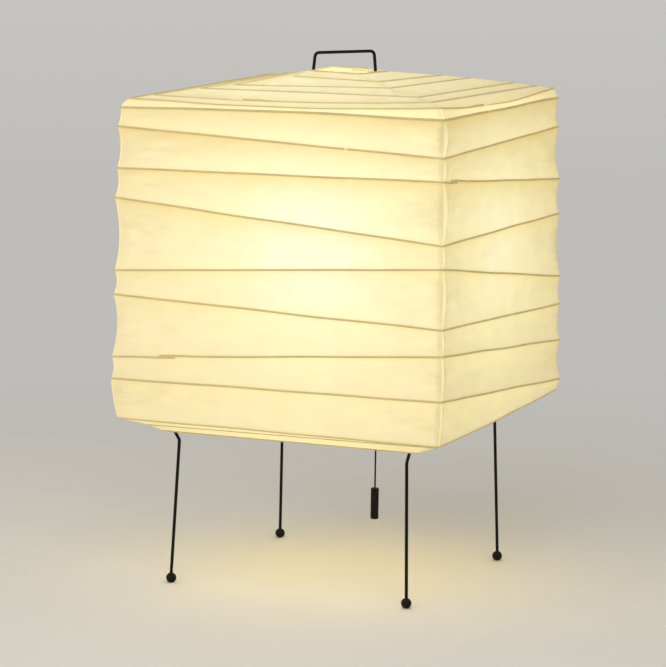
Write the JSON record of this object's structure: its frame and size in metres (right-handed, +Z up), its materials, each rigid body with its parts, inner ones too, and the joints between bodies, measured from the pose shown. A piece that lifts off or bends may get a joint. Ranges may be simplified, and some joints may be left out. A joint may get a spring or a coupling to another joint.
{
  "type": "paper table lamp",
  "caption": "Square ribbed paper shade on wire legs with ball feet, with a wire handle on top, a lampholder and bulb inside and a pull switch on a cord below.",
  "frame": {"origin": "on the floor under the middle of the shade", "axes": "+X to the right along the front face, +Y to the back, +Z up"},
  "size_m": [0.3298, 0.3298, 0.5002],
  "materials": {
    "washi_paper": "matt handmade paper, lit from inside",
    "bamboo_rib": "split bamboo",
    "black_wire": "satin black",
    "black_ball": "satin black",
    "black_cord": "braided cord",
    "black_plastic": "matt",
    "bakelite": "moulded, dark brown",
    "white_ceramic": "unglazed",
    "brass": "drawn",
    "zinc_steel": "zinc plated",
    "opal_glass": "opal"
  },
  "bodies": {
    "lamp": {"paper_front": "washi_paper", "paper_right": "washi_paper", "paper_back": "washi_paper", "paper_left": "washi_paper", "paper_roof": "washi_paper", "paper_underside": "washi_paper", "rib_shoulder_upper": "bamboo_rib", "rib_shoulder_lower": "bamboo_rib", "rib_side_1": "bamboo_rib", "rib_side_2": "bamboo_rib", "rib_side_3": "bamboo_rib", "rib_side_4": "bamboo_rib", "rib_side_5": "bamboo_rib", "rib_side_6": "bamboo_rib", "rib_side_7": "bamboo_rib", "rib_bottom_edge": "bamboo_rib", "rib_roof_1": "bamboo_rib", "rib_roof_2": "bamboo_rib", "rib_roof_3": "bamboo_rib", "rib_roof_4": "bamboo_rib", "rib_collar": "bamboo_rib", "rib_underside": "bamboo_rib", "rib_opening": "bamboo_rib", "leg_front_left": "black_wire", "leg_front_right": "black_wire", "leg_back_right": "black_wire", "leg_back_left": "black_wire", "foot_front_left": "black_ball", "foot_front_right": "black_ball", "foot_back_right": "black_ball", "foot_back_left": "black_ball", "stretcher": "black_wire", "stretcher_socket_left": "zinc_steel", "stretcher_socket_right": "zinc_steel", "hub_plate_lower": "black_wire", "hub_plate_upper": "black_wire", "hub_screw_1": "zinc_steel", "hub_screw_2": "zinc_steel", "stem": "zinc_steel", "stem_nut_lower": "brass", "stem_nut_upper": "brass", "inlet_bush": "black_plastic", "holder_base": "bakelite", "switch_cover": "bakelite", "holder_insulator": "white_ceramic", "centre_contact": "brass", "screw_shell": "brass", "holder_sleeve": "bakelite", "terminal_block": "brass", "lever_pin": "zinc_steel", "return_spring": "zinc_steel", "pull_guide": "brass", "bulb_cap": "brass", "bulb_contact": "zinc_steel", "bulb_glass": "opal_glass", "bulb_emitter": "opal_glass"},
    "switch_lever": {"switch_lever": "zinc_steel"},
    "pull_link": {"pull_link": "brass"},
    "pull_cord": {"pull_cord": "black_cord"},
    "pull_weight": {"pull_weight": "black_ball"}
  },
  "joints": [
    {"name": "pull_slide", "type": "slide", "parent": "lamp", "child": "pull_link", "axis": [0, 0, -1], "range_m": [0, 0.008], "stiffness_N_per_m": 300, "springref_m": -0.006},
    {"name": "lever_turn", "type": "hinge", "parent": "lamp", "child": "switch_lever", "pos_m": [0.016, 0, 0.2219], "axis": [0, 1, 0], "range_deg": [0, 24.5], "deforming": ["return_spring"]},
    {"name": "cord_swing", "type": "hinge", "parent": "pull_link", "child": "pull_cord", "pos_m": [0.035, 0, 0.1928], "axis": [1, 0, 0], "range_deg": [-25, 25]},
    {"name": "weight_swing", "type": "hinge", "parent": "pull_cord", "child": "pull_weight", "pos_m": [0.035, 0, 0.0858], "axis": [0, 1, 0], "range_deg": [-20, 20]}
  ],
  "couplings": [
    {"joint": "lever_turn", "follows": "pull_slide", "rad_per_m": 52.6}
  ]
}
